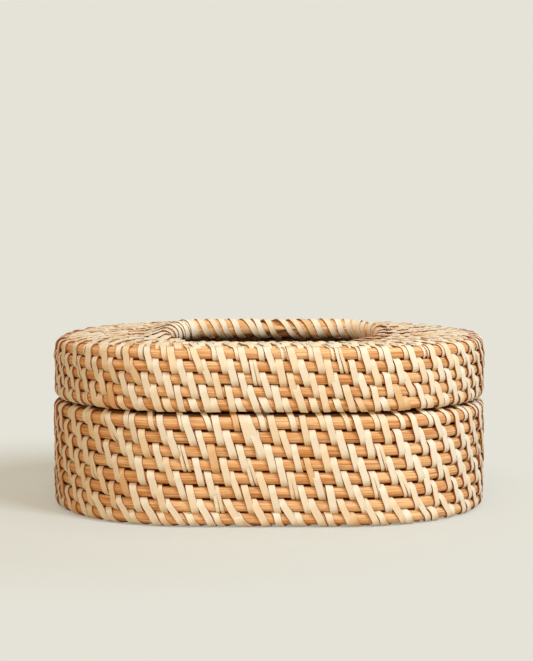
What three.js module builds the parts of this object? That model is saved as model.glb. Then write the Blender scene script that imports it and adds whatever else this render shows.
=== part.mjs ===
import * as THREE from 'three';

// Baby wipe holder: an oval box of coiled cane rods, with a lift-off lid that has a dispensing opening.
// Millimetres, +Z up, front towards -Y, underside on Z = 0.

// Outer size of the plan, which is two straight runs joined by round ends
const outerLength = 250;
const outerWidth = 170;

// Six-sided cane rod, and the crowned strip of cane peel that lashes the rows of rod together
const rodRadius = 3.3;
const rodSides = 6;
const stripWidth = 3.4;
const insideWidth = 1.6;
const stripThickness = 0.6;
const stripFit = 0.25;
const stripSlant = 4;
const footFlatWidth = 2;

// Rows of rod, and the gaps between their flats that the strips pass through
const baseRowCount = 8;
const baseRowGap = 1.854;
const floorRowCount = 10;
const lidRowCount = 5;
const lidRowGap = 1.164;
const topRowCount = 8;
const topRowGap = 1.784;
const topRowRise = 0.5;
const collarRowCount = 2;

// How the lid sits: air under it, air round the locating collar, and the collar's rise above the base
const seatGap = 2.8;
const collarFit = 0.1;
const collarRise = 7;

// Handmade lean of the opening's rim: high at the back, low at the front, and a little sunk all round
const rimLean = 3.3;
const rimSink = 0.2;

// Loop outline: flats round each end, and how far the climb from row to row keeps from the end of the back
const endFlats = 8;
const frontFlats = 4;
const climbInset = 14;

// Lashing: places for a wrap on each flat, the first ones used, and the places from wrap to wrap and row to row
const placesPerFlat = 3;
const baseFirstWrap = 4;
const lidFirstWrap = 0;
const wrapSpacing = 6;
const wrapStepPerRow = 2;
const frontOnlyStrips = 2;
const tieFirstPlace = 0.75;
const tieSpacing = 4;
const tieCount = 5;

// Sizes that follow from those above
const stripReach = rodRadius + stripFit + stripThickness;
const halfStraight = (outerLength - outerWidth) / 2;
const climbHalf = halfStraight - climbInset;
const wallRadius = outerWidth / 2 - stripReach;
const rodFlatHalf = rodRadius * Math.cos(Math.PI / rodSides);
const baseRowPitch = 2 * rodFlatHalf + baseRowGap;
const lidRowPitch = 2 * rodFlatHalf + lidRowGap;
const topRowPitch = 2 * rodFlatHalf + topRowGap;
const floorHeight = stripReach;
const floorRowPitch = wallRadius / (floorRowCount + 0.5);
const baseTop = floorHeight + (baseRowCount - 1) * baseRowPitch + stripReach;
const lidLowHeight = baseTop + seatGap + (lidRowPitch + stripThickness) / 2;
const lidTopHeight = lidLowHeight + (lidRowCount - 1) * lidRowPitch;
const collarRadius = wallRadius - 2 * stripReach - collarFit;
const collarTopHeight = baseTop + collarRise - rodFlatHalf;

// Stations of one loop, anticlockwise from the back, where the climb to the next row has just ended
const endStep = Math.PI / endFlats;

function straightStation(x, side, climb = 0) {
  return { middle: x, normalX: 0, normalY: side, stretch: 1, climb };
}

function endStations(middle, firstAngle) {
  return Array.from({ length: endFlats }, (_, index) => {
    const angle = firstAngle + (index + 0.5) * endStep;
    const stretch = 1 / Math.cos(endStep / 2);
    return { middle, normalX: Math.cos(angle), normalY: Math.sin(angle), stretch, climb: 0 };
  });
}

const stations = [
  straightStation(-climbHalf, 1),
  ...endStations(-halfStraight, Math.PI / 2),
  straightStation(-climbHalf, -1),
  straightStation(0, -1),
  straightStation(climbHalf, -1),
  ...endStations(halfStraight, -Math.PI / 2),
  straightStation(climbHalf, 1),
  straightStation(0, 1, 0.5),
];
const flatsPerLoop = stations.length;
const levelFlats = flatsPerLoop - 2;

function stationPoint(index, radius, height) {
  const station = stations[index % flatsPerLoop];
  const reach = radius * station.stretch;
  return new THREE.Vector3(station.middle + station.normalX * reach, station.normalY * reach, height);
}

// A row is a loop of rod at one radius and height, whose next row lies one pitch further along the coil
function linkedRows(count, makeRow) {
  const rows = Array.from({ length: count }, (_, index) => ({ lean: 0, sink: 0, ...makeRow(index) }));
  rows.forEach((row, index) => {
    row.next = rows[index + 1];
  });
  return rows;
}

function levelRowSpot(row, index) {
  const station = stations[index % flatsPerLoop];
  return new THREE.Vector2(row.radius, row.height + row.lean * station.normalY - row.sink);
}

// Radius and height of a row's middle at a station, part way to the next row where the loop climbs
function rowStationSpot(row, index) {
  const climb = index >= flatsPerLoop ? 1 : stations[index].climb;
  const spot = levelRowSpot(row, index);
  return climb > 0 ? spot.lerp(levelRowSpot(row.next, index), climb) : spot;
}

// Closed surface over rings of points, capped at both ends or joined end to end
function tubeGeometry(rings, joined = false) {
  const sides = rings[0].length;
  const positions = rings.flat().flatMap((point) => point.toArray());
  const faces = [];
  const spans = joined ? rings.length : rings.length - 1;
  for (let ring = 0; ring < spans; ring += 1) {
    const here = ring * sides;
    const there = ((ring + 1) % rings.length) * sides;
    for (let side = 0; side < sides; side += 1) {
      const beside = (side + 1) % sides;
      faces.push([here + side, here + beside, there + side]);
      faces.push([here + beside, there + beside, there + side]);
    }
  }
  const last = (rings.length - 1) * sides;
  for (let side = 1; side < sides - 1 && !joined; side += 1) {
    faces.push([0, side + 1, side]);
    faces.push([last, last + side, last + side + 1]);
  }
  const geometry = new THREE.BufferGeometry();
  geometry.setAttribute('position', new THREE.Float32BufferAttribute(positions, 3));
  geometry.setIndex(facingOut(faces, positions).flat());
  geometry.computeVertexNormals();
  return geometry;
}

function facingOut(faces, positions) {
  const corner = (index) => new THREE.Vector3().fromArray(positions, index * 3);
  let volume = 0;
  for (const [first, second, third] of faces) {
    volume += corner(first).dot(corner(second).cross(corner(third)));
  }
  return volume > 0 ? faces : faces.map(([first, second, third]) => [first, third, second]);
}

// Coil of rod, one unbroken tube with tapered ends that lie beside the climb and keep its edges level
function rodRing(index, spot, scale, turned) {
  return Array.from({ length: rodSides }, (_, side) => {
    const angle = (side + (turned ? 0.5 : 0)) * 2 * Math.PI / rodSides;
    const radius = spot.x + Math.cos(angle) * rodRadius * scale;
    return stationPoint(index, radius, spot.y + Math.sin(angle) * rodRadius * scale);
  });
}

function taperRing(row, neighbour, turned) {
  const index = flatsPerLoop - 1;
  const spot = levelRowSpot(row, index);
  const away = spot.clone().sub(levelRowSpot(neighbour, index));
  const pitch = away.length();
  const airGap = pitch - 2 * rodFlatHalf;
  const halfHeight = (pitch * stations[index].climb - airGap) / 2;
  spot.add(away.setLength(rodFlatHalf - halfHeight));
  return rodRing(index, spot, halfHeight / rodFlatHalf, turned);
}

function coilRings(rows, flatLaid) {
  const rings = [taperRing(rows[0], rows[1], flatLaid)];
  for (const row of rows) {
    const stationCount = row.next ? flatsPerLoop : flatsPerLoop - 1;
    for (let index = 0; index < stationCount; index += 1) {
      rings.push(rodRing(index, rowStationSpot(row, index), 1, flatLaid));
    }
  }
  rings.push(taperRing(rows.at(-1), rows.at(-2), flatLaid));
  return rings;
}

// Least distance between points of the tube that lie half a loop or more apart along it
function leastSelfGap(rings) {
  let least = Infinity;
  rings.forEach((ring, index) => {
    for (const otherRing of rings.slice(index + flatsPerLoop / 2)) {
      for (const point of ring) {
        for (const other of otherRing) {
          least = Math.min(least, point.distanceTo(other));
        }
      }
    }
  });
  return least;
}

// Lashing strip round two neighbouring rows, placed by a distance in flats along the loop
function flatAt(place, pair) {
  return Math.min(Math.max(Math.floor(place), 0), pair.flatCount - 1);
}

function rowSpot(row, place, flat) {
  return rowStationSpot(row, flat).lerp(rowStationSpot(row, flat + 1), place - flat);
}

function pairFlatLength(pair, flat) {
  const radius = (pair.first.radius + pair.second.radius) / 2;
  return stationPoint(flat, radius, 0).distanceTo(stationPoint(flat + 1, radius, 0));
}

// Across runs from 0, beyond the first row, to 1, beyond the second; face is 1 outside and -1 inside
function stripPoint(pair, place, across, face, layer) {
  const flat = flatAt(place, pair);
  const first = rowSpot(pair.first, place, flat);
  const second = rowSpot(pair.second, place, flat);
  const along = second.clone().sub(first).normalize();
  const outward = new THREE.Vector2(-along.y, along.x);
  const halfPitch = first.distanceTo(second) / 2;
  const lift = (layer - 0.5) * stripThickness;
  first.addScaledVector(along, -lift - (pair.firstIsEdge ? stripReach - stripThickness / 2 : halfPitch));
  second.addScaledVector(along, lift + (pair.secondIsEdge ? stripReach - stripThickness / 2 : halfPitch));
  const spot = first.lerp(second, across);
  const clear = rodRadius + stripFit;
  const secondInside = pair.secondInside ?? clear;
  const depth = face > 0 ? clear : THREE.MathUtils.lerp(clear, secondInside, across);
  spot.addScaledVector(outward, face * (depth + layer * stripThickness));
  const start = stationPoint(flat, spot.x, spot.y);
  return start.lerp(stationPoint(flat + 1, spot.x, spot.y), place - flat);
}

// Section of the strip: a crown over a flat back, or a flat top on the strip that the box stands on
function stripRing(pair, place, across, face) {
  const flatLength = pairFlatLength(pair, flatAt(place, pair));
  const back = stripWidth / 2 / flatLength;
  const top = footFlatWidth / 2 / flatLength;
  const crown = pair.flatTopped ? [place - top, place + top] : [place];
  return [
    stripPoint(pair, place - back, across, face, 0),
    ...crown.map((spot) => stripPoint(pair, spot, across, face, 1)),
    stripPoint(pair, place + back, across, face, 0),
  ];
}

// Section where the strip turns a bend of the inside, narrowed to pass between its neighbours
function insideRing(pair, place, across) {
  const span = stripPoint(pair, place, 0, -1, 0).distanceTo(stripPoint(pair, place, 1, -1, 0));
  const spread = insideWidth / 2 / span;
  const crown = pair.flatTopped ? [across - spread / 2, across + spread / 2] : [across];
  return [
    stripPoint(pair, place, across - spread, -1, 0),
    ...crown.map((spot) => stripPoint(pair, place, spot, -1, 1)),
    stripPoint(pair, place, across + spread, -1, 0),
  ];
}

function bendsAt(index) {
  const before = stationPoint(index, wallRadius, 0).sub(stationPoint(index - 1, wallRadius, 0));
  const after = stationPoint(index + 1, wallRadius, 0).sub(stationPoint(index, wallRadius, 0));
  return before.angleTo(after) > endStep / 2 || index > levelFlats - 1;
}

// The strip starts inside, slants over the outside of both rows, turns in, and runs on to the next wrap
function lashingRings(pair, firstPlace, placeCount) {
  const rings = [];
  let insidePlace = null;
  for (let step = firstPlace; step < placeCount; step += wrapSpacing) {
    const place = (step + 0.5) / placesPerFlat;
    const halfSlant = stripSlant / 2 / pairFlatLength(pair, flatAt(place, pair));
    const start = place - halfSlant;
    const end = place + halfSlant;
    if (insidePlace !== null) {
      for (let bend = Math.ceil(insidePlace); bend < start; bend += 1) {
        if (bendsAt(bend)) {
          rings.push(insideRing(pair, bend, (start - bend) / (start - insidePlace)));
        }
      }
    }
    rings.push(stripRing(pair, start, 0, -1));
    rings.push(stripRing(pair, start, 0, 1));
    rings.push(stripRing(pair, end, 1, 1));
    rings.push(stripRing(pair, end, 1, -1));
    insidePlace = end;
  }
  return rings;
}

function lashing(pair, firstWrap, order) {
  const climbs = pair.first.next === pair.second && pair.second.next;
  const flatCount = climbs ? flatsPerLoop : levelFlats;
  const wound = { ...pair, flatCount };
  const firstPlace = (firstWrap + order * wrapStepPerRow) % wrapSpacing;
  if (pair.frontOnly) {
    const frontFirst = endFlats * placesPerFlat;
    return lashingRings(wound, frontFirst + firstPlace, frontFirst + frontFlats * placesPerFlat);
  }
  return lashingRings(wound, firstPlace, flatCount * placesPerFlat);
}

// Closed tie, one loop of strip round two rows
function tieRings(pair, place) {
  const wound = { ...pair, flatCount: levelFlats };
  return [[0, 1], [1, 1], [1, -1], [0, -1]].map(([across, face]) => stripRing(wound, place, across, face));
}

// Rows of the base, from the rim down the wall and in over the floor
const baseWallRows = linkedRows(baseRowCount, (index) => ({
  radius: wallRadius,
  height: floorHeight + (baseRowCount - 1 - index) * baseRowPitch,
}));
const floorRows = linkedRows(floorRowCount, (index) => ({
  radius: wallRadius - (index + 1) * floorRowPitch,
  height: floorHeight,
}));
const collarRows = linkedRows(collarRowCount, (index) => ({
  radius: collarRadius,
  height: collarTopHeight - index * baseRowPitch,
}));

// Rows of the lid, from the opening's rim out over the top and down the wall
const lidTopRows = linkedRows(topRowCount, (index) => {
  const inward = (topRowCount - index) / topRowCount;
  return {
    radius: wallRadius - (topRowCount - index) * topRowPitch,
    height: lidTopHeight + topRowRise,
    lean: rimLean * inward ** 2,
    sink: rimSink * inward ** 2,
  };
});
const lidWallRows = linkedRows(lidRowCount, (index) => ({
  radius: wallRadius,
  height: lidTopHeight - index * lidRowPitch,
}));

// Finishes
const rodFinish = { color: '#c8915a', roughness: 0.55, metalness: 0 };
const peelFinish = { color: '#ecd9b4', roughness: 0.5, metalness: 0 };

// Named pieces
const holder = new THREE.Group();
holder.name = 'baby_wipe_holder';

function addPiece(name, geometry, finish) {
  const mesh = new THREE.Mesh(geometry, new THREE.MeshStandardMaterial(finish));
  mesh.name = name;
  holder.add(mesh);
}

function addCoil(name, rows, flatLaid) {
  const rings = coilRings(rows, flatLaid);
  console.log(`${name}: least gap to itself ${leastSelfGap(rings).toFixed(2)} mm`);
  addPiece(name, tubeGeometry(rings), rodFinish);
}

function addStrip(name, rings, joined = false) {
  addPiece(name, tubeGeometry(rings, joined), peelFinish);
}

addCoil('base_wall_coil', baseWallRows, false);
addCoil('base_floor_coil', floorRows, true);
addCoil('locating_coil', collarRows, false);
addCoil('lid_top_coil', lidTopRows, true);
addCoil('lid_wall_coil', lidWallRows, false);

// Strips of the base: wall rows, wall to floor, then floor rows, the innermost on their front run only
const baseRows = [...baseWallRows, ...floorRows];
baseRows.slice(1).forEach((second, order) => {
  const floorOrder = order - baseRowCount + 1;
  const isEdge = floorOrder === 0;
  const frontOnly = floorOrder >= floorRowCount - frontOnlyStrips;
  const pair = { first: baseRows[order], second, firstIsEdge: isEdge, flatTopped: isEdge, frontOnly };
  const floorName = isEdge ? 'base_edge_lashing' : `base_floor_lashing_${floorOrder}`;
  const name = floorOrder < 0 ? `base_wall_lashing_${order + 1}` : floorName;
  addStrip(name, lashing(pair, baseFirstWrap, order));
});

// Strip of the locating collar, and the ties that hold the collar to the top row of the base
const [collarUpper, collarLower] = collarRows;
addStrip('locating_lashing', lashing({ first: collarUpper, second: collarLower }, baseFirstWrap, 0));
const tiedPair = { first: baseWallRows[0], second: collarLower, firstIsEdge: true, secondIsEdge: true };
for (let index = 0; index < tieCount; index += 1) {
  const rings = tieRings(tiedPair, tieFirstPlace + index * tieSpacing);
  addStrip(`locating_tie_${index + 1}`, rings, true);
}

// Strips of the lid: top rows from the rim outwards, shoulder, then wall rows
const lidRows = [...lidTopRows, ...lidWallRows];
lidRows.slice(1).forEach((second, order) => {
  const shoulder = topRowCount - 1;
  const wallOrder = order - shoulder;
  const pair = { first: lidRows[order], second, firstIsEdge: order === 0, secondIsEdge: wallOrder === 0 };
  if (wallOrder === 0) {
    pair.secondInside = (lidRowPitch - stripThickness) / 2;
  }
  const wallName = wallOrder === 0 ? 'lid_shoulder_lashing' : `lid_wall_lashing_${wallOrder}`;
  const name = wallOrder < 0 ? `lid_top_lashing_${order + 1}` : wallName;
  addStrip(name, lashing(pair, lidFirstWrap, order));
});

export default holder;
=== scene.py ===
import math
import random

import bpy
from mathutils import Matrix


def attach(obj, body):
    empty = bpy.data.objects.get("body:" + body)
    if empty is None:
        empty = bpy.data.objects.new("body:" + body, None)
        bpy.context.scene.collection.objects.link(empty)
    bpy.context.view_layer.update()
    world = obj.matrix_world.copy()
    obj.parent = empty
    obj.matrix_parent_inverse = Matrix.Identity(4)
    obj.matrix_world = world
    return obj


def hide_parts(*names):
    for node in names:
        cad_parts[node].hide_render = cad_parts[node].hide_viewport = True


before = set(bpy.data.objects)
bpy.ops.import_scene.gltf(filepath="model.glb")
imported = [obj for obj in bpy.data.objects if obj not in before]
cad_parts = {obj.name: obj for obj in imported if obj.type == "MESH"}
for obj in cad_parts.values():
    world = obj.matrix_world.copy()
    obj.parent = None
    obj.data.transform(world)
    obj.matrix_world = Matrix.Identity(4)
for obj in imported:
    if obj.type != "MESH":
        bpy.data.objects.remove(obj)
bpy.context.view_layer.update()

mm = 0.001


# a socket that takes part in Python sums, for shader and geometry trees alike
class Wire:
    def __init__(self, tree, socket=None):
        self.tree = tree
        self.socket = socket

    def node(self, kind, settings=None, values=None, output=0):
        made = self.tree.nodes.new(kind)
        for name, value in (settings or {}).items():
            setattr(made, name, value)
        for name, value in (values or {}).items():
            if isinstance(value, Wire):
                self.tree.links.new(value.socket, made.inputs[name])
            else:
                made.inputs[name].default_value = value
        return Wire(self.tree, made.outputs[output] if made.outputs else None)

    def sum(self, operation, first, second):
        return self.node("ShaderNodeMath", {"operation": operation}, {0: first, 1: second})

    def __add__(self, other):
        return self.sum("ADD", self, other)

    __radd__ = __add__

    def __sub__(self, other):
        return self.sum("SUBTRACT", self, other)

    def __rsub__(self, other):
        return self.sum("SUBTRACT", other, self)

    def __mul__(self, other):
        return self.sum("MULTIPLY", self, other)

    __rmul__ = __mul__


def mixColor(wire, factor, first, second):
    return wire.node("ShaderNodeMix", {"data_type": "RGBA"}, {0: factor, 6: first, 7: second}, 2)


def fadeIn(wire, value, fade):
    return wire.node("ShaderNodeMapRange", {"interpolation_type": "SMOOTHSTEP"},
                     {"Value": value, "From Min": fade[0], "From Max": fade[1]})


def stored(wire, name, output="Fac"):
    return wire.node("ShaderNodeAttribute", {"attribute_name": name}, None, output)


def fibres(wire, grain, kind):
    spread = wire.node("ShaderNodeVectorMath", {"operation": "MULTIPLY"}, {0: grain, 1: kind["stretch"]})
    return wire.node("ShaderNodeTexNoise", None, {"Vector": spread, "Scale": 1.0, "Detail": kind["detail"]})


def newFinish(name):
    material = bpy.data.materials.new(name)
    material.use_nodes = True
    material.node_tree.nodes.clear()
    return material, Wire(material.node_tree)


def closeFinish(wire, shader):
    wire.node("ShaderNodeOutputMaterial", None, {"Surface": shader})


def closeCane(wire, finish, body, threads, relief):
    bump = wire.node("ShaderNodeBump", None, {"Height": relief, **finish["bump"]})
    gloss = threads * finish["glossPlay"] + (finish["roughness"] - finish["glossPlay"] / 2)
    shader = wire.node("ShaderNodeBsdfPrincipled", None, {
        "Base Color": body, "Roughness": gloss, "Normal": bump, "Specular IOR Level": finish["specular"]})
    closeFinish(wire, shader)


# finish of the rods: rattan core, tan, with fine fibres and deep brown pores along its length, and painted
# shade in the seams between rows
rodFinish = {
    "deep": (0.52, 0.180, 0.034, 1), "tan": (0.79, 0.450, 0.180, 1), "straw": (0.92, 0.685, 0.425, 1),
    "pore": (0.22, 0.058, 0.009, 1), "seamShade": (0.14, 0.024, 0.002, 1),
    "tanShare": 0.45, "strandShare": 0.68, "threadShare": 0.56, "poreShare": 0.60, "seamShadeFade": (0.75, 0.93),
    "drift": {"stretch": (14.0, 0.5, 0.5), "detail": 2.0, "fade": (0.34, 0.66)},
    "strands": {"stretch": (26.0, 5.0, 5.0), "detail": 3.0, "fade": (0.40, 0.64)},
    "threads": {"stretch": (40.0, 10.0, 10.0), "detail": 2.0, "fade": (0.52, 0.33)},
    "pores": {"stretch": (34.0, 10.0, 10.0), "detail": 1.0, "fade": (0.58, 0.70)},
    "strandRelief": 0.5, "threadRelief": 0.6, "poreRelief": 0.5,
    "bump": {"Strength": 0.5, "Distance": 0.0003}, "roughness": 0.60, "glossPlay": 0.18, "specular": 0.08,
}


def makeRodFinish():
    material, wire = newFinish("caneRod")
    grain = stored(wire, "grain", "Vector")
    noise = {name: fibres(wire, grain, rodFinish[name]) for name in ("drift", "strands", "threads", "pores")}
    faded = {name: fadeIn(wire, noise[name], rodFinish[name]["fade"]) for name in noise}
    body = mixColor(wire, faded["drift"], rodFinish["deep"], rodFinish["straw"])
    body = mixColor(wire, rodFinish["tanShare"], body, rodFinish["tan"])
    body = mixColor(wire, faded["strands"] * rodFinish["strandShare"], body, rodFinish["straw"])
    body = mixColor(wire, faded["threads"] * rodFinish["threadShare"], body, rodFinish["deep"])
    body = mixColor(wire, faded["pores"] * rodFinish["poreShare"], body, rodFinish["pore"])
    # painted shade: the rod turns dark brown where it faces the row beside it, in the valley where shade
    # falls
    seamShade = fadeIn(wire, stored(wire, "seamShade"), rodFinish["seamShadeFade"])
    body = mixColor(wire, seamShade, body, rodFinish["seamShade"])
    relief = noise["strands"] * rodFinish["strandRelief"] + noise["threads"] * rodFinish["threadRelief"]
    relief = relief - faded["pores"] * rodFinish["poreRelief"]
    closeCane(wire, rodFinish, body, noise["threads"], relief)
    return material


# one strip of peel: a flat band with bevelled edges
strip = {"width": 4.2, "thickness": 0.70, "crown": 0.90, "sharpAngle": 0.6}

# finish of the strips: split peel, pale and satin, each strip with its own tone, with painted shade on their
# sides and at their ends where they go down between rods
peelFinish = {
    "cream": (0.84, 0.825, 0.735, 1), "honey": (0.83, 0.685, 0.470, 1), "tan": (0.70, 0.420, 0.180, 1),
    "shade": (0.31, 0.078, 0.009, 1), "edgeFade": 0.03, "diveShadeShare": 0.70,
    "honeyed": {"fade": (0.35, 1.00), "share": 0.70}, "tanned": {"fade": (0.955, 0.975), "share": 0.7},
    "clouds": {"stretch": (120.0, 1.5, 7.0), "detail": 2.0, "fade": (0.50, 0.78), "share": 0.40},
    "threads": {"stretch": (40.0, 9.0, 7.0), "detail": 2.0, "fade": (0.55, 0.76), "share": 0.32},
    "bump": {"Strength": 0.35, "Distance": 0.0002}, "roughness": 0.46, "glossPlay": 0.16, "specular": 0.12,
}


def makePeelFinish():
    material, wire = newFinish("canePeel")
    grain = stored(wire, "grain", "Vector")
    tone = stored(wire, "tone")
    clouds = fibres(wire, grain, peelFinish["clouds"])
    threads = fibres(wire, grain, peelFinish["threads"])
    body = peelFinish["cream"]
    for name, layer, color in (("honeyed", tone, "honey"), ("tanned", tone, "tan"),
                               ("clouds", clouds, "honey"), ("threads", threads, "tan")):
        share = fadeIn(wire, layer, peelFinish[name]["fade"]) * peelFinish[name]["share"]
        body = mixColor(wire, share, body, peelFinish[color])
    # painted shade on the strips' side faces, as much as each strip's share of it
    across = wire.node("ShaderNodeSeparateXYZ", None, {0: grain}, 1)
    edge = (strip["crown"], strip["crown"] + peelFinish["edgeFade"])
    side = fadeIn(wire, across.sum("ABSOLUTE", across, 0.0), edge)
    body = mixColor(wire, side * stored(wire, "sideShade"), body, peelFinish["shade"])
    # painted shade at the strips' ends, where they go down between rods
    body = mixColor(wire, stored(wire, "diveShade") * peelFinish["diveShadeShare"], body, peelFinish["shade"])
    closeCane(wire, peelFinish, body, threads, threads)
    return material


caneRod = makeRodFinish()
canePeel = makePeelFinish()
print("finishes made: rods and peel")


# oval plan that every row follows, in millimetres; the coil climbs to its next row at the back
plan = {
    "halfStraight": 40.0, "climbHalf": 26.0, "wallRadius": 80.85,
    "arcSteps": 46, "leastArcSteps": 12, "leadSteps": 2, "frontSteps": 10, "climbSteps": 10,
}

# what all rods share: the slight waver of hand work, the painted shade towards the rows beside them, weaker
# on the upper side, the thinned ends
coil = {
    "sides": 12, "waves": 4, "mostTurns": 7, "phase": 6.28, "swell": 0.35,
    "seamShade": 1.14, "seamShadeAbove": 0.86, "thinnest": 0.1,
}


def smoothStep(share):
    return share * share * (3 - 2 * share)


def loopLength(radius):
    return 4 * plan["halfStraight"] + 2 * math.pi * radius


def loopPlace(distance, radius):
    # middle of the end, outward direction in plan, and how far the climb has gone
    half = plan["halfStraight"]
    lead = half - plan["climbHalf"]
    arc = math.pi * radius
    distance %= loopLength(radius)
    if distance < lead:
        return (-plan["climbHalf"] - distance, 0.0, 1.0, 0.0)
    distance -= lead
    if distance < arc:
        angle = math.pi / 2 + distance / radius
        return (-half, math.cos(angle), math.sin(angle), 0.0)
    distance -= arc
    if distance < 2 * half:
        return (distance - half, 0.0, -1.0, 0.0)
    distance -= 2 * half
    if distance < arc:
        angle = distance / radius - math.pi / 2
        return (half, math.cos(angle), math.sin(angle), 0.0)
    distance -= arc
    if distance < lead:
        return (half - distance, 0.0, 1.0, 0.0)
    distance -= lead
    return (plan["climbHalf"] - distance, 0.0, 1.0, distance / (2 * plan["climbHalf"]))


def makeRows(kind, spot):
    rng = random.Random(kind["seed"])
    sway = kind["sway"]
    rows = []
    for index in range(kind["count"]):
        row = {"lean": 0.0, "sink": 0.0, "sag": (0.0, 0.0), "reach": (0.0, 0.0),
               "rod": kind["rod"], "seamShade": coil["seamShade"], **spot(index)}
        row["sway"] = [(rng.randint(1, coil["mostTurns"]), rng.uniform(0, coil["phase"]),
                        rng.uniform(-sway, sway), rng.uniform(-sway, sway)) for wave in range(coil["waves"])]
        rows.append(row)
    return rows


def levelSpot(row, place, turn):
    # radius, height and thickness of a row's rod; reach and sag have a left and a right value
    end = place[1] > 0
    radius = row["radius"] + row["reach"][end] * place[1] ** 2
    height = row["height"] + row["lean"] * place[2] - row["sink"]
    height -= row["sag"][end] * place[1] ** 2 * (1 - max(place[2], 0))
    thick = row["rod"]
    for waves, phase, across, upward in row["sway"]:
        swing = math.sin(waves * turn * math.tau + phase)
        radius += swing * across
        height += swing * upward
        thick += swing * across * coil["swell"]
    return radius, height, thick


def blendSpot(first, second, share):
    return tuple(a + (b - a) * share for a, b in zip(first, second))


def rowSpot(rows, index, place, turn):
    spot = levelSpot(rows[index], place, turn)
    if place[3] > 0 and index + 1 < len(rows):
        return blendSpot(spot, levelSpot(rows[index + 1], place, turn), smoothStep(place[3]))
    return spot


def tailSpot(row, neighbour, place, turn, share):
    # end of a rod, thinned to a share of its thickness and kept level on its outer side
    share = max(share, coil["thinnest"])
    spot = levelSpot(row, place, turn)
    other = levelSpot(neighbour, place, turn)
    away = (spot[0] - other[0], spot[1] - other[1])
    reach = spot[2] * (1 - share) / math.hypot(*away)
    return spot[0] + away[0] * reach, spot[1] + away[1] * reach, spot[2] * share


def worldPoint(place, radius, height):
    return ((place[0] + place[1] * radius) * mm, place[2] * radius * mm, height * mm)


def rowDistances(radius):
    half, climb = plan["halfStraight"], 2 * plan["climbHalf"]
    lead = (half - plan["climbHalf"], plan["leadSteps"])
    arcSteps = int(plan["arcSteps"] * math.sqrt(radius / plan["wallRadius"]))
    arc = (math.pi * radius, max(plan["leastArcSteps"], arcSteps))
    front = (2 * half, plan["frontSteps"])
    found = []
    start = 0.0
    for length, steps in (lead, arc, front, arc, lead, (climb, plan["climbSteps"])):
        found += [start + length * step / steps for step in range(steps)]
        start += length
    return found


# one rod wound row by row: path points with the rod's thickness and its neighbours at each
def coilPath(rows):
    points = []
    values = {"thick": [], "toward": [], "below": [], "above": []}

    def add(index, place, spot):
        upper = min(index, len(rows) - 2)
        one, two = rows[upper], rows[upper + 1]
        step = (two["radius"] - one["radius"], two["height"] - one["height"])
        length = math.hypot(*step)
        # how much painted shade this row takes towards the rows below and above it
        seamShade = rows[index]["seamShade"]
        points.append(worldPoint(place, spot[0], spot[1]))
        values["thick"].append(spot[2] * mm)
        values["toward"].append((place[1] * step[0] / length, place[2] * step[0] / length, step[1] / length))
        values["below"].append(seamShade if index + 1 < len(rows) else 0.0)
        values["above"].append(seamShade * coil["seamShadeAbove"] if index > 0 else 0.0)

    radius = rows[0]["radius"]
    length, climb = loopLength(radius), 2 * plan["climbHalf"]
    for step in range(1, plan["climbSteps"]):
        share = step / plan["climbSteps"]
        distance = length - climb + climb * share
        place = loopPlace(distance, radius)
        add(0, place, tailSpot(rows[0], rows[1], place, distance / length, smoothStep(share)))
    for index, row in enumerate(rows):
        for distance in rowDistances(row["radius"]):
            place = loopPlace(distance, row["radius"])
            turn = distance / loopLength(row["radius"])
            if place[3] > 0 and index + 1 == len(rows):
                add(index, place, tailSpot(row, rows[index - 1], place, turn, 1 - smoothStep(place[3])))
            else:
                add(index, place, rowSpot(rows, index, place, turn))
    return points, values


def newTree(name, inputs):
    tree = bpy.data.node_groups.new(name, "GeometryNodeTree")
    tree.interface.new_socket("Mesh", in_out="OUTPUT", socket_type="NodeSocketGeometry")
    names = {}
    for label, kind in inputs:
        socket = tree.interface.new_socket(label, in_out="INPUT", socket_type="NodeSocket" + kind)
        names[label] = socket.identifier
    start = tree.nodes.new("NodeGroupInput")
    given = {label: Wire(tree, start.outputs[label]) for label, kind in inputs}
    return tree, names, given


def closeTree(mesh, finish):
    # plain mesh with its finish, as the export needs
    real = mesh.node("GeometryNodeRealizeInstances", None, {"Geometry": mesh})
    done = mesh.node("GeometryNodeSetMaterial", None, {"Geometry": real, "Material": finish})
    mesh.node("NodeGroupOutput", None, {"Mesh": done})


def keepValue(geometry, name, value, kind="FLOAT"):
    return geometry.node("GeometryNodeStoreNamedAttribute", {"data_type": kind, "domain": "POINT"},
                         {"Geometry": geometry, "Name": name, "Value": value})


def readValue(wire, name, kind="FLOAT"):
    return wire.node("GeometryNodeInputNamedAttribute", {"data_type": kind}, {"Name": name})


def sweepAlong(path, profile, scale):
    # sweeps the profile and keeps the length along the path and the place round the profile
    curve = keepValue(path, "along", path.node("GeometryNodeSplineParameter", None, None, "Length"))
    spot = path.node("GeometryNodeInputPosition")
    outline = keepValue(profile, "outline", spot, "FLOAT_VECTOR")
    mesh = path.node("GeometryNodeCurveToMesh", None,
                     {"Curve": curve, "Profile Curve": outline, "Scale": scale, "Fill Caps": True})
    split = path.node("ShaderNodeSeparateXYZ", None, {0: readValue(path, "outline", "FLOAT_VECTOR")})
    return mesh, [Wire(path.tree, part) for part in split.socket.node.outputs]


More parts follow.
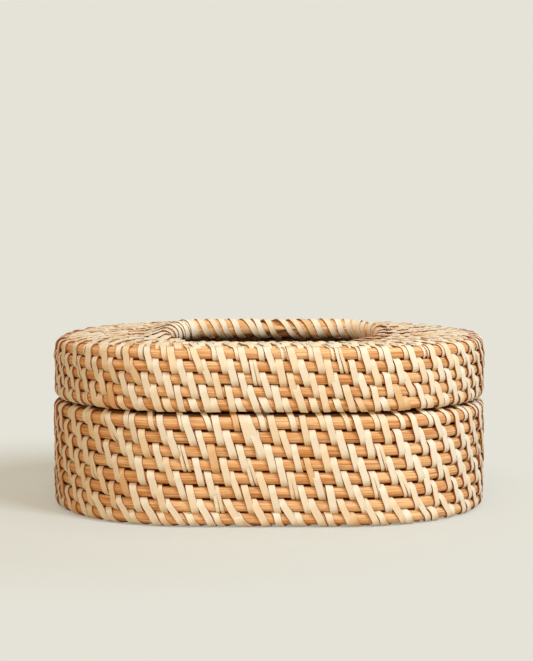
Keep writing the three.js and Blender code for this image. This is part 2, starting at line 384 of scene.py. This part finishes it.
def makeRodTree():
    tree, names, given = newTree("rodCoil", [("Path", "Geometry"), ("Sides", "Int"), ("Finish", "Material")])
    path = given["Path"]
    curve = path.node("GeometryNodeMeshToCurve", None, {"Mesh": path})
    profile = path.node("GeometryNodeCurvePrimitiveCircle", None,
                        {"Resolution": given["Sides"], "Radius": 1.0})
    mesh, ring = sweepAlong(curve, profile, readValue(path, "thick"))
    grain = path.node("ShaderNodeCombineXYZ", None, {0: readValue(path, "along"), 1: ring[0], 2: ring[1]})
    mesh = keepValue(mesh, "grain", grain, "FLOAT_VECTOR")
    normal = path.node("GeometryNodeInputNormal")
    toward = readValue(path, "toward", "FLOAT_VECTOR")
    # painted shade: how far each point of the rod faces the next row down, or, less strongly, the row above
    facing = path.node("ShaderNodeVectorMath", {"operation": "DOT_PRODUCT"}, {0: normal, 1: toward}, "Value")
    away = facing * -1.0
    seamShade = path.sum("MAXIMUM", facing * readValue(path, "below"), away * readValue(path, "above"))
    mesh = keepValue(mesh, "seamShade", seamShade)
    mesh = path.node("GeometryNodeSetShadeSmooth", None, {"Geometry": mesh, "Shade Smooth": True})
    closeTree(mesh, given["Finish"])
    return tree, names


def makeStripTree():
    tree, names, given = newTree("peelStrips", [
        ("Paths", "Geometry"), ("Width", "Float"), ("Thickness", "Float"), ("Crown", "Float"),
        ("Finish", "Material")])
    path = given["Paths"]
    curve = path.node("GeometryNodeMeshToCurve", None, {"Mesh": path})
    curve = path.node("GeometryNodeSetCurveNormal", {"mode": "FREE"},
                      {"Curve": curve, "Normal": readValue(path, "skin", "FLOAT_VECTOR")})
    half = given["Width"] * 0.5
    top = half * given["Crown"]

    def corner(height, side):
        return path.node("ShaderNodeCombineXYZ", None, {0: height, 1: side})

    profile = path.node("GeometryNodeCurvePrimitiveQuadrilateral", {"mode": "POINTS"}, {
        "Point 1": corner(0.0, half), "Point 2": corner(given["Thickness"], top),
        "Point 3": corner(given["Thickness"], 0.0 - top), "Point 4": corner(0.0, 0.0 - half)})
    mesh, band = sweepAlong(curve, profile, readValue(path, "broad"))
    across = path.sum("DIVIDE", band[1], half)
    grain = path.node("ShaderNodeCombineXYZ", None,
                      {0: readValue(path, "along"), 1: across, 2: readValue(path, "lot")})
    mesh = keepValue(mesh, "grain", grain, "FLOAT_VECTOR")
    mesh = path.node("GeometryNodeSetShadeSmooth", None, {"Geometry": mesh, "Shade Smooth": True})
    angle = path.node("GeometryNodeInputMeshEdgeAngle")
    sharp = path.node("FunctionNodeCompare", {"operation": "GREATER_THAN"},
                      {"A": angle, "B": strip["sharpAngle"]})
    mesh = path.node("GeometryNodeSetShadeSmooth", {"domain": "EDGE"},
                     {"Geometry": mesh, "Selection": sharp, "Shade Smooth": False})
    closeTree(mesh, given["Finish"])
    return tree, names


rodTree, rodInputs = makeRodTree()
stripTree, stripInputs = makeStripTree()
pathLabels = ("along", "outline", "thick", "toward", "below", "above", "skin", "broad", "lot")


def pathMesh(name, points, edges, values):
    mesh = bpy.data.meshes.new(name)
    mesh.from_pydata(points, edges, [])
    for label, numbers in values.items():
        wide = isinstance(numbers[0], tuple)
        attribute = mesh.attributes.new(label, "FLOAT_VECTOR" if wide else "FLOAT", "POINT")
        flat = [part for number in numbers for part in number] if wide else numbers
        attribute.data.foreach_set("vector" if wide else "value", flat)
    return mesh


def sweptPiece(name, paths, tree, settings):
    piece = bpy.data.objects.new(name, paths)
    bpy.context.scene.collection.objects.link(piece)
    modifier = piece.modifiers.new("sweep", "NODES")
    modifier.node_group = tree
    for identifier, value in settings.items():
        modifier[identifier] = value
    evaluated = piece.evaluated_get(bpy.context.evaluated_depsgraph_get())
    mesh = bpy.data.meshes.new_from_object(evaluated)
    piece.modifiers.clear()
    piece.data = mesh
    bpy.data.meshes.remove(paths)
    mesh.name = name
    for label in pathLabels:  # what the finishes don't read
        if label in mesh.attributes:
            mesh.attributes.remove(mesh.attributes[label])
    return piece


def layRod(name, rows, body, node):
    points, values = coilPath(rows)
    edges = [(index, index + 1) for index in range(len(points) - 1)]
    paths = pathMesh(name, points, edges, values)
    settings = {rodInputs["Sides"]: coil["sides"], rodInputs["Finish"]: caneRod}
    piece = sweptPiece(name, paths, rodTree, settings)
    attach(piece, body)
    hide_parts(node)
    print("rod laid:", name, len(rows), "rows,", len(piece.data.polygons), "faces")


# rows of the base: wall from the rim down, floor from the wall in, collar inside the rim
baseWall = {"seed": 11, "count": 8, "pitch": 7.57, "low": 4.15, "rod": 3.74, "sway": 0.10}
baseFloor = {"seed": 12, "count": 10, "pitch": 7.70, "height": 4.78, "rod": 3.52, "sway": 0.05}
collar = {"seed": 13, "count": 2, "pitch": 6.95, "radius": 72.0, "top": 65.43, "rod": 3.48, "sway": 0.04}

baseWallRows = makeRows(baseWall, lambda index: {
    "radius": plan["wallRadius"],
    "height": baseWall["low"] + (baseWall["count"] - 1 - index) * baseWall["pitch"]})
floorRows = makeRows(baseFloor, lambda index: {
    "radius": plan["wallRadius"] - (index + 1) * baseFloor["pitch"], "height": baseFloor["height"]})
collarRows = makeRows(collar, lambda index: {
    "radius": collar["radius"], "height": collar["top"] - index * collar["pitch"]})
for row in [baseWallRows[-1]] + floorRows:
    # rows that lie on the table: level, and thin enough for the strips under them
    row["height"], row["rod"] = baseFloor["height"], baseFloor["rod"]
    row["sway"] = [(waves, phase, 0.0, 0.0) for waves, phase, across, upward in row["sway"]]

# rows of the lid: top from the opening's rim out, wall from the shoulder down
# the lid's top rows take more painted shade towards their neighbours, to darken the gaps between its strips
lidTop = {"seed": 14, "count": 8, "pitch": 7.50, "height": 95.85, "rod": 3.70, "sway": 0.10,
          "lean": 4.8, "sink": 0.5, "seamShade": 1.45}
lidWall = {"seed": 15, "count": 5, "pitch": 6.88, "top": 95.35, "rod": 3.42, "sway": 0.12, "sag": (1.7, 0.3)}
shoulder = {"inward": 1.2, "drop": 0.5, "sag": (1.2, 0.1), "sagFade": 3}  # the next row sags a third as much
opening = {"reach": (2.6, 6.4), "rod": 5.20, "inward": 1.1}


def lidTopSpot(index):
    inward = (lidTop["count"] - index) / lidTop["count"]
    return {"radius": plan["wallRadius"] - (lidTop["count"] - index) * lidTop["pitch"],
            "height": lidTop["height"], "lean": lidTop["lean"] * inward ** 2,
            "sink": lidTop["sink"] * inward ** 2, "seamShade": lidTop["seamShade"],
            "reach": tuple(end * inward for end in opening["reach"])}


def lidWallSpot(index):
    fading = 1 - index / (lidWall["count"] - 1)
    return {"radius": plan["wallRadius"], "height": lidWall["top"] - index * lidWall["pitch"],
            "sag": tuple(end * fading for end in lidWall["sag"])}


lidTopRows = makeRows(lidTop, lidTopSpot)
lidWallRows = makeRows(lidWall, lidWallSpot)

# the shoulder is rounded and sags, most at its left end; the opening's rim has a thicker rod
lidWallRows[0]["radius"] -= shoulder["inward"]
for row in (lidWallRows[0], lidTopRows[-1]):
    row["height"] -= shoulder["drop"]
lidTopRows[-1]["sag"] = shoulder["sag"]
lidTopRows[-2]["sag"] = tuple(end / shoulder["sagFade"] for end in shoulder["sag"])
lidTopRows[0]["rod"] = opening["rod"]
lidTopRows[0]["radius"] -= opening["inward"]

layRod("base_wall_rod", baseWallRows, "base", "base_wall_coil")
layRod("base_floor_rod", floorRows, "base", "base_floor_coil")
layRod("locating_rod", collarRows, "base", "locating_coil")
layRod("lid_top_rod", lidTopRows, "lid", "lid_top_coil")
layRod("lid_wall_rod", lidWallRows, "lid", "lid_wall_coil")


# how strips are laid: each goes over two rods, or round one rod at an edge, on a slant; their sides and the
# ends that go down between rods take painted shade
lashing = {
    "lift": 0.02, "liftPlay": 0.12, "roll": 0.07, "lots": 40, "waver": 1.2, "sideShade": 0.95,
    "bridge": 0.95, "curl": 0.45, "step": 27, "meet": 5, "diveShade": {0: 1.0, 1: 0.75, 2: 0.12},
    "lap": 0.16, "stack": 0.14, "breadth": (0.88, 1.12), "lean": (0.72, 1.3),
    "steepLean": (1.5, 2.0), "steepShare": 0.05,
    "splitShare": 0.06, "splitAside": 0.27, "splitBreadth": 0.5, "splitLean": 0.1,
}


def fan(first, last):
    steps = max(1, math.ceil(abs(last - first) / lashing["step"]))
    return [first + (last - first) * step / steps for step in range(steps + 1)]


def stripRoute(wrap, pitch, rod, curl=lashing["curl"], openStart=False):
    # which rod the strip bears on (2 is the gap), the angle there, and how far along the slant it has come
    upper, lower = fan(wrap[0], lashing["meet"]), fan(-lashing["meet"], wrap[1])
    route = [(0, angle) for angle in upper] + [(2, 0)] + [(1, angle) for angle in lower]
    spots = []
    for bears, angle in route:
        lean = math.radians(angle)
        across = {0: 0.0, 1: pitch, 2: pitch / 2}[bears] + math.sin(lean) * rod
        spots.append((across, math.cos(lean) * rod))
    return measured(route, spots, len(upper), curl, openStart)


def wrapRoute(wrap, rod):
    angles = fan(*wrap)
    leans = [math.radians(angle) for angle in angles]
    spots = [(math.sin(lean) * rod, math.cos(lean) * rod) for lean in leans]
    crest = min(range(len(angles)), key=lambda place: abs(angles[place]))
    return measured([(0, angle) for angle in angles], spots, crest, lashing["curl"])


def measured(route, spots, middle, curl, openStart=False):
    run = [0.0]
    for before, after in zip(spots, spots[1:]):
        run.append(run[-1] + abs(after[0] - before[0]) + curl * abs(after[1] - before[1]))
    made = []
    for number, (bears, angle) in enumerate(route):
        fromEnd = len(route) - 1 - number
        # painted shade at both ends, or only at the far end when the start stays in view
        nearest = fromEnd if openStart else min(number, fromEnd)
        made.append((bears, angle, run[number] - run[middle], lashing["diveShade"].get(nearest, 0.0)))
    return made


class Strands:
    # strips that are gathered up for one piece
    def __init__(self, seed, sideShade=lashing["sideShade"], warm=0.0):
        self.rng = random.Random(seed)
        self.sideShade = sideShade
        self.warm = warm
        self.points, self.edges = [], []
        self.values = {"skin": [], "broad": [], "tone": [], "lot": [], "diveShade": [], "sideShade": []}

    def lay(self, pair, distance, route, slant, broad, over, aside=0.0):
        rng = self.rng
        tone = self.warm + (1 - self.warm) * rng.random()
        lot = rng.uniform(0, lashing["lots"])
        lift = lashing["lift"] + over + rng.uniform(0, lashing["liftPlay"])
        roll = rng.uniform(-lashing["roll"], lashing["roll"])
        first = len(self.points)
        for bears, angle, run, diveShade in route:
            spot, skin = self.bearing(pair, distance + aside + slant * run, bears, angle, lift, roll)
            self.points.append(spot)
            told = {"skin": skin, "broad": broad, "tone": tone, "lot": lot, "diveShade": diveShade, "sideShade": self.sideShade}
            for label, value in told.items():
                self.values[label].append(value)
        self.edges += [(index, index + 1) for index in range(first, len(self.points) - 1)]

    def bearing(self, pair, distance, bears, angle, lift, roll):
        place = loopPlace(distance, pair["mean"])
        turn = (distance / loopLength(pair["mean"])) % 1.0
        if pair["level"]:
            place = (*place[:3], 0.0)
        one = rowSpot(pair["rows"][0], pair["index"][0], place, turn)
        two = rowSpot(pair["rows"][1], pair["index"][1], place, turn)
        gap = math.hypot(two[0] - one[0], two[1] - one[1])
        along = ((two[0] - one[0]) / gap, (two[1] - one[1]) / gap)
        out = (-along[1] * pair["side"], along[0] * pair["side"])
        lean = math.radians(angle)
        way = tuple(out[k] * math.cos(lean) + along[k] * math.sin(lean) for k in (0, 1))
        rod = one if bears == 0 else two if bears == 1 else blendSpot(one, two, 0.5)
        reach = (rod[2] + lift) * (pair["bridge"] if bears == 2 else 1.0)
        spot = worldPoint(place, rod[0] + way[0] * reach, rod[1] + way[1] * reach)
        travel = (-place[2], place[1])
        skin = (place[1] * way[0] + travel[0] * roll, place[2] * way[0] + travel[1] * roll, way[1])
        return spot, skin

    def layRow(self, pair, count, shift, route, slant, over=0.0, breadth=1.0, waver=lashing["waver"],
               skip=None):
        rng = self.rng
        spacing = loopLength(pair["mean"]) / count
        for number in range(count):
            distance = (number + 0.5) * spacing + shift + rng.uniform(-waver, waver)
            steep = rng.random() < lashing["steepShare"]
            lean = slant * rng.uniform(*lashing["steepLean" if steep else "lean"])
            broad = breadth * rng.uniform(*lashing["breadth"])
            split = rng.random() < lashing["splitShare"]
            if skip and skip(loopPlace(distance, pair["mean"])):
                continue
            level = over + lashing["stack"] * (number % 2)  # neighbours lie at different levels
            if not split:
                self.lay(pair, distance, route, lean, broad, level)
                continue
            for half in (-1, 1):  # a strip that has split lengthwise
                halfLean = lean * (1 + half * lashing["splitLean"])
                aside = half * strip["width"] * lashing["splitAside"]
                self.lay(pair, distance, route, halfLean, broad * lashing["splitBreadth"], level, aside)

    def piece(self, name, body, *nodes, thickness=strip["thickness"]):
        paths = pathMesh(name, self.points, self.edges, self.values)
        piece = sweptPiece(name, paths, stripTree, {
            stripInputs["Width"]: strip["width"] * mm, stripInputs["Thickness"]: thickness * mm,
            stripInputs["Crown"]: strip["crown"], stripInputs["Finish"]: canePeel})
        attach(piece, body)
        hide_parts(*nodes)
        print("strips laid:", name, len(piece.data.polygons), "faces")


def rowPair(rows, index, side, other=None, otherIndex=None, level=False, bridge=lashing["bridge"], mean=None):
    other = other or rows
    otherIndex = index + 1 if otherIndex is None else otherIndex
    mean = mean or (rows[index]["radius"] + other[otherIndex]["radius"]) / 2
    return {"rows": (rows, other), "index": (index, otherIndex), "side": side, "mean": mean,
            "level": level, "bridge": bridge}


def nodeNames(stem, count):
    return [f"{stem}_{number}" for number in range(1, count + 1)]


def lateClimb(place):
    return place[3] > 0.5  # past the middle of the climb, where a last row thins out


def lapOver(index):
    # strips of neighbouring pairs lap at different levels, the topmost over the short ones at the edge
    return lashing["lap"] * (2 if index == 0 else index % 2)


# wall of the base, outside and inside; doubled strips have a row, a place, a slant and a breadth
baseStrips = {
    "seed": 21, "count": 44, "shift": 6.1, "slant": 0.27, "lowSlant": 0.50, "innerSlant": -0.34,
    "wrap": (-104, 104), "inside": (-76, 76), "rimInside": (-40, 76), "doubledOver": 0.3,
    "doubled": ((0, -12.5, 0.34, 0.95), (0, -8.6, 0.42, 0.80), (1, -6.0, 0.38, 1.15)),
}
wallStrands = Strands(baseStrips["seed"])
wallRoute, insideRoute, rimInsideRoute = [stripRoute(baseStrips[name], baseWall["pitch"], baseWall["rod"])
                                          for name in ("wrap", "inside", "rimInside")]
for index in range(baseWall["count"] - 1):
    last = index == baseWall["count"] - 2
    for side, slant in ((1, baseStrips["slant"]), (-1, baseStrips["innerSlant"])):
        route = wallRoute if side == 1 else insideRoute if index else rimInsideRoute
        steeper = baseStrips["lowSlant"] - slant if last and side == 1 else 0.0
        shift = index * baseStrips["shift"] + steeper * baseWall["pitch"] / 2
        wallStrands.layRow(rowPair(baseWallRows, index, side), baseStrips["count"], shift, route,
                           slant + steeper, lapOver(index), skip=lateClimb if last else None)
for index, place, slant, broad in baseStrips["doubled"]:
    pair = rowPair(baseWallRows, index, 1)
    frontMiddle = 2 * plan["halfStraight"] - plan["climbHalf"] + math.pi * pair["mean"]
    wallStrands.lay(pair, frontMiddle + place, wallRoute, slant, broad,
                    lapOver(index) + baseStrips["doubledOver"])
wallStrands.piece("base_wall_strips", "base", *nodeNames("base_wall_lashing", baseWall["count"] - 1))

# bottom edge, over the last wall row and the first floor row
edgeStrips = {"seed": 22, "aside": 5.0, "slant": 0.60, "wrap": (-194, 104)}
edgeStrands = Strands(edgeStrips["seed"])
edgePair = rowPair(baseWallRows, baseWall["count"] - 1, 1, floorRows, 0)
edgeRoute = stripRoute(edgeStrips["wrap"], baseFloor["pitch"], baseWall["rod"])
edgeShift = (baseWall["count"] - 1) * baseStrips["shift"] + edgeStrips["aside"]
edgeStrands.layRow(edgePair, baseStrips["count"], edgeShift, edgeRoute, edgeStrips["slant"])
edgeStrands.piece("base_edge_strips", "base", "base_edge_lashing")

# floor, underneath and inside
floorStrips = {"seed": 23, "spacing": 15.5, "least": 7, "shift": 5.0, "slant": 0.27, "innerSlant": -0.30,
               "wrap": (-90, 90)}
floorStrands = Strands(floorStrips["seed"])
floorRoute = stripRoute(floorStrips["wrap"], baseFloor["pitch"], baseFloor["rod"])
for index in range(baseFloor["count"] - 1):
    last = index == baseFloor["count"] - 2
    for side, slant in ((1, floorStrips["slant"]), (-1, floorStrips["innerSlant"])):
        pair = rowPair(floorRows, index, side)
        count = max(floorStrips["least"], round(loopLength(pair["mean"]) / floorStrips["spacing"]))
        floorStrands.layRow(pair, count, index * floorStrips["shift"], floorRoute, slant,
                            skip=lateClimb if last else None)
floorStrands.piece("base_floor_strips", "base", *nodeNames("base_floor_lashing", baseFloor["count"] - 1))

# collar that the lid drops over, and the ties from its top down over the rim of the base
collarStrips = {"seed": 24, "shift": 2.0, "wrap": (-90, 90), "slant": 0.27, "count": 10,
                "innerSlant": -0.30, "innerCount": 40}
ties = {"aside": 1.6, "slant": 0.3, "bridge": 0.6, "breadth": 0.78, "wrap": (-104, 142), "nodes": 5}
collarStrands = Strands(collarStrips["seed"])
collarRoute = stripRoute(collarStrips["wrap"], collar["pitch"], collar["rod"])
for side, slant, count in ((1, "slant", "count"), (-1, "innerSlant", "innerCount")):
    collarStrands.layRow(rowPair(collarRows, 0, side), collarStrips[count], collarStrips["shift"],
                         collarRoute, collarStrips[slant], skip=lateClimb)
tieSpan = math.hypot(plan["wallRadius"] - collar["radius"], collar["top"] - baseWallRows[0]["height"])
tieRoute = stripRoute(ties["wrap"], tieSpan, baseWall["rod"])
tiePair = rowPair(collarRows, 0, 1, baseWallRows, 0, level=True, bridge=ties["bridge"],
                  mean=plan["wallRadius"])
tieShift = -baseStrips["shift"] - (tieSpan - baseWall["pitch"]) / 2 * ties["slant"] - ties["aside"]
collarStrands.layRow(tiePair, baseStrips["count"], tieShift, tieRoute, ties["slant"], breadth=ties["breadth"])
collarStrands.piece("locating_strips", "base", "locating_lashing", *nodeNames("locating_tie", ties["nodes"]))

# top of the lid, then the opening's rim, with finer strips in between at its two ends
# the top's strips take lighter painted shade on their sides than those of the walls
topStrips = {
    "seed": 25, "sideShade": 0.55, "warm": 0.45, "thickness": 0.50, "shift": 3.6, "slant": 0.30, "spacing": 9.4,
    "underSlant": -0.30, "underSpacing": 12.6, "wrap": (-104, 104), "under": (-76, 76), "rimUnder": (-20, 76),
}
rimStrips = {
    "count": 46, "shift": 1.5, "slant": 0.62, "wrap": (-215, 104), "curl": 1.0, "breadth": 0.84,
    "waver": 0.7, "sideShade": 0.90, "endShift": 4.9, "endOver": 0.60, "endBreadth": 0.66, "endFrom": 0.35,
}
topStrands = Strands(topStrips["seed"], topStrips["sideShade"], topStrips["warm"])
topRoute, underRoute, rimUnderRoute = [
    stripRoute(topStrips[name], lidTop["pitch"], lidTop["rod"]) for name in ("wrap", "under", "rimUnder")]
for index in range(lidTop["count"] - 1):
    last = index == lidTop["count"] - 2
    for side, slant, spacing in ((1, "slant", "spacing"), (-1, "underSlant", "underSpacing")):
        if index == 0 and side == 1:
            continue
        pair = rowPair(lidTopRows, index, side)
        count = round(loopLength(pair["mean"]) / topStrips[spacing])
        route = topRoute if side == 1 else underRoute if index else rimUnderRoute
        topStrands.layRow(pair, count, index * topStrips["shift"], route, topStrips[slant], lapOver(index),
                          skip=lateClimb if last else None)


def rimStraight(place):
    return abs(place[1]) < rimStrips["endFrom"]


# the rim's strips take more painted shade on their sides
topStrands.sideShade, topStrands.warm = rimStrips["sideShade"], 0.0
rimPair = rowPair(lidTopRows, 0, 1, level=True)
rimRoute = stripRoute(rimStrips["wrap"], lidTop["pitch"], lidTop["rod"], rimStrips["curl"], openStart=True)
topStrands.layRow(rimPair, rimStrips["count"], rimStrips["shift"], rimRoute, rimStrips["slant"],
                  breadth=rimStrips["breadth"], waver=rimStrips["waver"])
topStrands.layRow(rimPair, rimStrips["count"], rimStrips["endShift"], rimRoute, rimStrips["slant"],
                  rimStrips["endOver"], rimStrips["endBreadth"], rimStrips["waver"], rimStraight)
topStrands.piece("lid_top_strips", "lid", *nodeNames("lid_top_lashing", lidTop["count"] - 1),
                 thickness=topStrips["thickness"])

# strips of the lid's wall; those of the shoulder have the same count and shift
lidStrips = {
    "seed": 27, "count": 51, "shift": 5.9, "slant": 0.28, "innerSlant": -0.34, "lowSlant": 0.45,
    "wrap": (-104, 104), "edge": (-104, 200), "inside": (-38, 38), "low": (100, -220),
}

# shoulder of the lid, from the last row of its top over the first row of its wall
shoulderStrips = {"seed": 26, "span": 7.5, "aside": 0.3, "slant": 0.26, "breadth": 0.78, "wrap": (-104, 194)}
shoulderStrands = Strands(shoulderStrips["seed"])
shoulderRoute = stripRoute(shoulderStrips["wrap"], shoulderStrips["span"], lidWall["rod"])
shoulderPair = rowPair(lidTopRows, lidTop["count"] - 1, 1, lidWallRows, 0,
                       mean=rowPair(lidWallRows, 0, 1)["mean"])
shoulderStrands.layRow(shoulderPair, lidStrips["count"], -lidStrips["shift"] - shoulderStrips["aside"],
                       shoulderRoute, shoulderStrips["slant"], breadth=shoulderStrips["breadth"])
shoulderStrands.piece("lid_shoulder_strips", "lid", "lid_shoulder_lashing")

# wall of the lid, and wraps round its lower edge
lidStrands = Strands(lidStrips["seed"])
lidRoute, lidEdgeRoute, lidInsideRoute = [
    stripRoute(lidStrips[name], lidWall["pitch"], lidWall["rod"]) for name in ("wrap", "edge", "inside")]
for index in range(lidWall["count"] - 1):
    last = index == lidWall["count"] - 2
    for side, slant in ((1, lidStrips["slant"]), (-1, lidStrips["innerSlant"])):
        route = lidInsideRoute if side == -1 else lidEdgeRoute if last else lidRoute
        lidStrands.layRow(rowPair(lidWallRows, index, side), lidStrips["count"], index * lidStrips["shift"],
                          route, slant, lapOver(index), skip=lateClimb if last else None)
lowRow = lidWall["count"] - 1
lowPair = rowPair(lidWallRows, lowRow, -1, lidWallRows, lowRow - 1, level=True)
lowRoute = wrapRoute(lidStrips["low"], lidWall["rod"])
lidStrands.layRow(lowPair, lidStrips["count"], lowRow * lidStrips["shift"], lowRoute, lidStrips["lowSlant"])
lidStrands.piece("lid_wall_strips", "lid", *nodeNames("lid_wall_lashing", lidWall["count"] - 1))


# studio: pale sweep, key from the right, broad soft light from the front, a weak warm one from the left,
# a soft one overhead and warm fill all round
studio = {
    "pale": (0.784, 0.768, 0.680, 1), "paper": (0.67, 0.72, 0.75, 1), "bounce": (0.60, 0.50, 0.37, 1),
    "nearGlow": 0.40, "nearMiddle": (-0.09, 0.0, 0.0), "fade": (0.17, 0.29),
    "fill": 0.18, "fillTint": (1.0, 0.70, 0.42, 1),
    "sweepBack": 1.6, "sweepFront": -4.0, "sweepTop": 5.0, "sweepSide": 6.0, "sweepSteps": 16,
}
lamps = {
    "key": {"place": (1.02, -1.04, 1.35), "power": 26.3, "size": 0.6, "tint": (0.90, 0.97, 1.0)},
    "front": {"place": (-0.22, -2.1, 1.45), "power": 28.0, "size": 1.6, "tint": (1.0, 0.71, 0.42)},
    "left": {"place": (-1.55, -1.05, 0.62), "power": 2.2, "size": 0.8, "tint": (1.0, 0.54, 0.24)},
    "overhead": {"place": (0.10, 0.15, 1.60), "power": 6.0, "size": 1.2, "tint": (1.0, 0.89, 0.58)},
}


def seenDirectly(wire):
    rays = wire.node("ShaderNodeLightPath").socket.node.outputs
    seen = Wire(wire.tree, rays["Is Camera Ray"]) + Wire(wire.tree, rays["Is Glossy Ray"])
    return seen + Wire(wire.tree, rays["Is Transmission Ray"])


def makeSweepMesh():
    back, side, steps = studio["sweepBack"], studio["sweepSide"], studio["sweepSteps"]
    turns = [step * math.pi / 2 / steps for step in range(steps + 1)]
    bend = [(back + back * math.sin(turn), back - back * math.cos(turn)) for turn in turns]
    profile = [(studio["sweepFront"], 0.0)] + bend + [(2 * back, studio["sweepTop"])]
    points = [(x, y, z) for y, z in profile for x in (-side, side)]
    faces = [(2 * k, 2 * k + 1, 2 * k + 3, 2 * k + 2) for k in range(len(profile) - 1)]
    mesh = bpy.data.meshes.new("sweep")
    mesh.from_pydata(points, [], faces)
    for polygon in mesh.polygons:
        polygon.use_smooth = True
    return mesh


def makePaper():
    # paper that takes the shadow near the box and glows pale further out
    material, wire = newFinish("studioPaper")
    spot = wire.node("ShaderNodeTexCoord", None, None, "Object")
    away = wire.node("ShaderNodeVectorMath", {"operation": "DISTANCE"},
                     {0: spot, 1: studio["nearMiddle"]}, "Value")
    glow = fadeIn(wire, away, studio["fade"]) * (1 - studio["nearGlow"]) + studio["nearGlow"]
    seen = seenDirectly(wire)
    shown = mixColor(wire, seen, studio["bounce"], studio["paper"])
    paper = wire.node("ShaderNodeBsdfDiffuse", None, {"Color": shown})
    pale = wire.node("ShaderNodeEmission", None, {"Color": studio["pale"], "Strength": 1.0})
    closeFinish(wire, wire.node("ShaderNodeMixShader", None, {0: seen * glow, 1: paper, 2: pale}))
    return material


def makeSweep():
    mesh = makeSweepMesh()
    mesh.materials.append(makePaper())
    sweep = bpy.data.objects.new("studio_sweep", mesh)
    bpy.context.scene.collection.objects.link(sweep)


def makeWorld():
    world = bpy.data.worlds.new("studio")
    bpy.context.scene.world = world
    world.use_nodes = True
    world.node_tree.nodes.clear()
    wire = Wire(world.node_tree)
    seen = seenDirectly(wire)
    strength = wire.node("ShaderNodeMapRange", None, {"Value": seen, "To Min": studio["fill"], "To Max": 1.0})
    color = mixColor(wire, seen, studio["fillTint"], studio["pale"])
    sky = wire.node("ShaderNodeBackground", None, {"Color": color, "Strength": strength})
    wire.node("ShaderNodeOutputWorld", None, {"Surface": sky})


def makeLamps():
    for name, kind in lamps.items():
        lamp = bpy.data.lights.new(name, "AREA")
        lamp.energy = kind["power"]
        lamp.size = kind["size"]
        lamp.color = kind["tint"]
        light = bpy.data.objects.new(name, lamp)
        bpy.context.scene.collection.objects.link(light)
        light.location = kind["place"]
        light.rotation_euler = (-light.location).to_track_quat("-Z", "Y").to_euler()


makeSweep()
makeWorld()
makeLamps()

# camera at the photograph's place
view = {"distance": 1.190, "height": 0.2115, "side": -0.0015, "lens": 111.5, "sensor": 36.0, "tilt": 5.32}
lens = bpy.data.cameras.new("view")
lens.sensor_width = view["sensor"]
lens.lens = view["lens"]
camera = bpy.data.objects.new("view", lens)
camera.location = (view["side"], -view["distance"], view["height"])
camera.rotation_euler = (math.radians(90 - view["tilt"]), 0, 0)
bpy.context.scene.collection.objects.link(camera)
bpy.context.scene.camera = camera
bpy.context.scene.view_settings.view_transform = "Standard"
print("studio and camera set")
